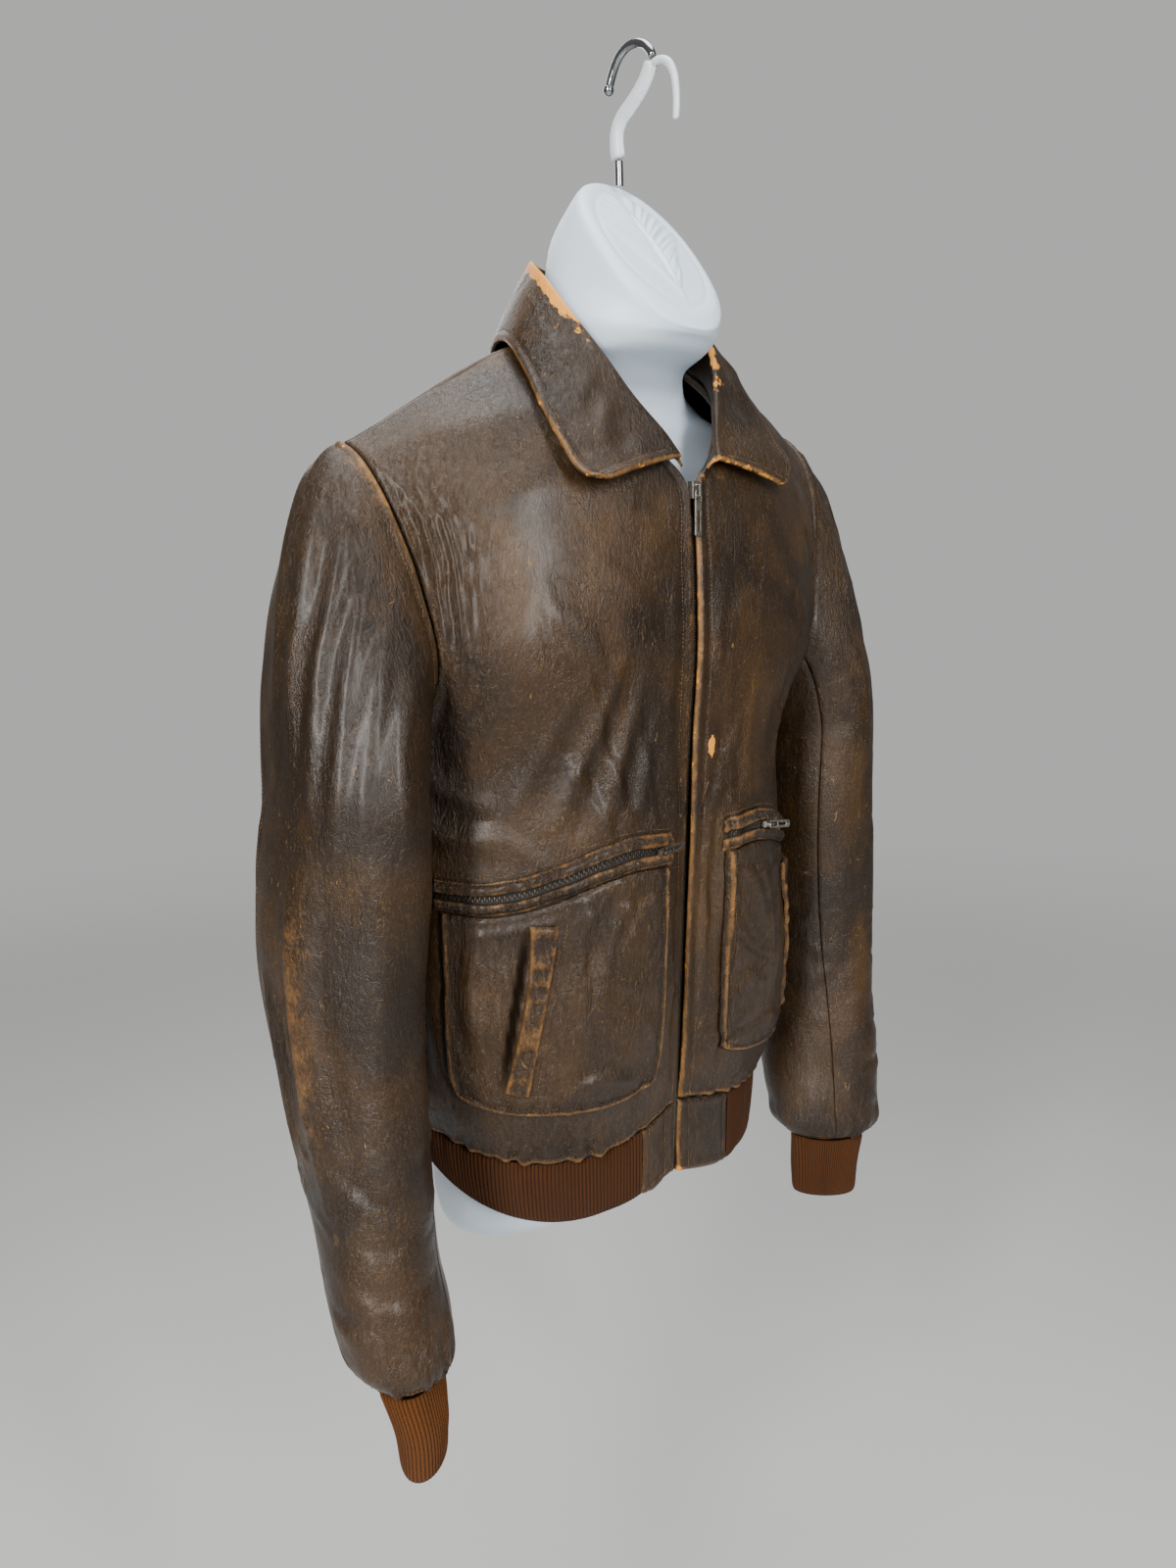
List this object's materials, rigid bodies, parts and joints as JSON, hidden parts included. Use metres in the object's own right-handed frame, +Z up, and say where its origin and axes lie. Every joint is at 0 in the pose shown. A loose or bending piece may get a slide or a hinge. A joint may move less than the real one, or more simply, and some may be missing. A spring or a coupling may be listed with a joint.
{
  "type": "worn leather jacket on hanging torso form",
  "caption": "Zip-front leather flight jacket with shirt collar, patch pockets and ribbed cuffs and hem, worn pale at its edges, filled out on a white limbless torso form that hangs from a hook.",
  "frame": {"origin": "the inside top of the form's metal hook, where a rail or ring carries it", "axes": "+Z up, the jacket's front faces -Y, the wearer's right sleeve is at -X"},
  "size_m": [0.631, 0.2524, 1.0062],
  "materials": {
    "leather": "satin",
    "worn_leather": "satin",
    "hem_knit": "matte",
    "cuff_knit": "matte",
    "zip_metal": "satin",
    "zip_tape": "matte",
    "form_plastic": "satin",
    "hook_metal": "gloss"
  },
  "bodies": {
    "jacket_and_form": {"front_right": "leather", "front_left": "leather", "back": "leather", "hem_rib": "hem_knit", "hem_tab_right": "leather", "hem_tab_left": "leather", "sleeve_top_right": "leather", "sleeve_under_right": "leather", "cuff_right": "cuff_knit", "sleeve_top_left": "leather", "sleeve_under_left": "leather", "cuff_left": "cuff_knit", "collar": "leather", "pocket_right": "leather", "pocket_welt_upper_right": "worn_leather", "pocket_welt_lower_right": "worn_leather", "pocket_zip_right": "zip_tape", "handwarmer_welt_right": "worn_leather", "pocket_left": "leather", "pocket_welt_upper_left": "worn_leather", "pocket_welt_lower_left": "worn_leather", "pocket_zip_left": "zip_tape", "handwarmer_welt_left": "worn_leather", "zip_tape_right": "zip_tape", "zip_tape_left": "zip_tape", "zip_teeth": "zip_metal", "zip_slider": "zip_metal", "pocket_slider_right": "zip_metal", "pocket_slider_left": "zip_metal", "torso_form": "form_plastic", "hook_rod": "hook_metal", "hook_sleeve": "form_plastic", "hook_wire": "hook_metal"},
    "front_pull": {"zip_pull": "zip_metal"},
    "right_pocket_pull": {"pocket_pull_right": "zip_metal"},
    "left_pocket_pull": {"pocket_pull_left": "zip_metal"}
  },
  "joints": [
    {"name": "front_pull_hinge", "type": "hinge", "parent": "jacket_and_form", "child": "front_pull", "pos_m": [0, -0.06551, -0.3214], "axis": [-1, 0, 0], "range_deg": [0, 165]},
    {"name": "right_pocket_pull_hinge", "type": "hinge", "parent": "jacket_and_form", "child": "right_pocket_pull", "pos_m": [-0.04427, -0.07373, -0.58937], "axis": [0.1021, 0.0078, -0.9947], "range_deg": [0, 160]},
    {"name": "left_pocket_pull_hinge", "type": "hinge", "parent": "jacket_and_form", "child": "left_pocket_pull", "pos_m": [0.0873, -0.06919, -0.58997], "axis": [-0.0975, -0.0318, -0.9947], "range_deg": [-24, 135]}
  ]
}
